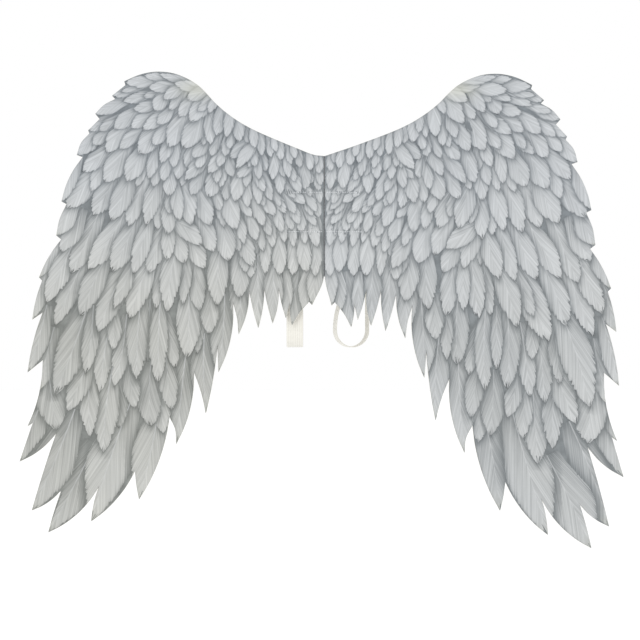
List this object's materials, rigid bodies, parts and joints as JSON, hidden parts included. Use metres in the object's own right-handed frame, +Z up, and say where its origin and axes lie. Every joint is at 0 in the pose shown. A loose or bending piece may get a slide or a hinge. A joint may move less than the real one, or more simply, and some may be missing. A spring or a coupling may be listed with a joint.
{
  "type": "costume feather wings",
  "caption": "Flat foam costume wings with printed grey feathers, folding at the middle, with a sewn back patch and elastic arm loops.",
  "frame": {"origin": "centre of the back patch, on the wearer's side", "axes": "+Z up, +X to the right as the printed face is seen, +Y towards the wearer, printed face towards -Y"},
  "size_m": [0.9185, 0.0603, 0.7242],
  "materials": {
    "printed_fabric": "matt printed felt, light grey feathers with blue-grey gaps",
    "foam": "off-white soft foam, cut edge",
    "lining": "white non-woven lining",
    "patch_cloth": "white reinforcing cloth",
    "elastic": "off-white ribbed elastic",
    "thread": "pale grey sewing thread"
  },
  "bodies": {
    "fold": {"fold_face_strip": "printed_fabric", "patch_middle": "patch_cloth"},
    "left_wing": {"left_printed_face": "printed_fabric", "left_foam_core": "foam", "left_back_lining": "lining", "left_back_patch": "patch_cloth", "left_upper_needle_thread": "thread", "left_lower_needle_thread": "thread", "left_upper_bobbin_thread": "thread", "left_lower_bobbin_thread": "thread", "left_strap_upper_end": "elastic", "left_strap_lower_end": "elastic"},
    "right_wing": {"right_printed_face": "printed_fabric", "right_foam_core": "foam", "right_back_lining": "lining", "right_back_patch": "patch_cloth", "right_upper_needle_thread": "thread", "right_lower_needle_thread": "thread", "right_upper_bobbin_thread": "thread", "right_lower_bobbin_thread": "thread", "right_strap_upper_end": "elastic", "right_strap_lower_end": "elastic"},
    "left_strap": {"left_strap_loop": "elastic"},
    "right_strap": {"right_strap_loop": "elastic"}
  },
  "joints": [
    {"name": "left_wing_fold", "type": "hinge", "parent": "fold", "child": "left_wing", "pos_m": [-0.001, -0.0034, 0], "axis": [0, 0, 1], "range_deg": [0, 85]},
    {"name": "right_wing_fold", "type": "hinge", "parent": "fold", "child": "right_wing", "pos_m": [0.001, -0.0034, 0], "axis": [0, 0, -1], "range_deg": [0, 85]},
    {"name": "left_strap_swing", "type": "hinge", "parent": "left_wing", "child": "left_strap", "pos_m": [-0.045, 0.03, 0], "axis": [0, 0, 1], "range_deg": [-90, 90]},
    {"name": "right_strap_swing", "type": "hinge", "parent": "right_wing", "child": "right_strap", "pos_m": [0.041, 0.03, 0], "axis": [0, 0, 1], "range_deg": [-12, 168]}
  ]
}
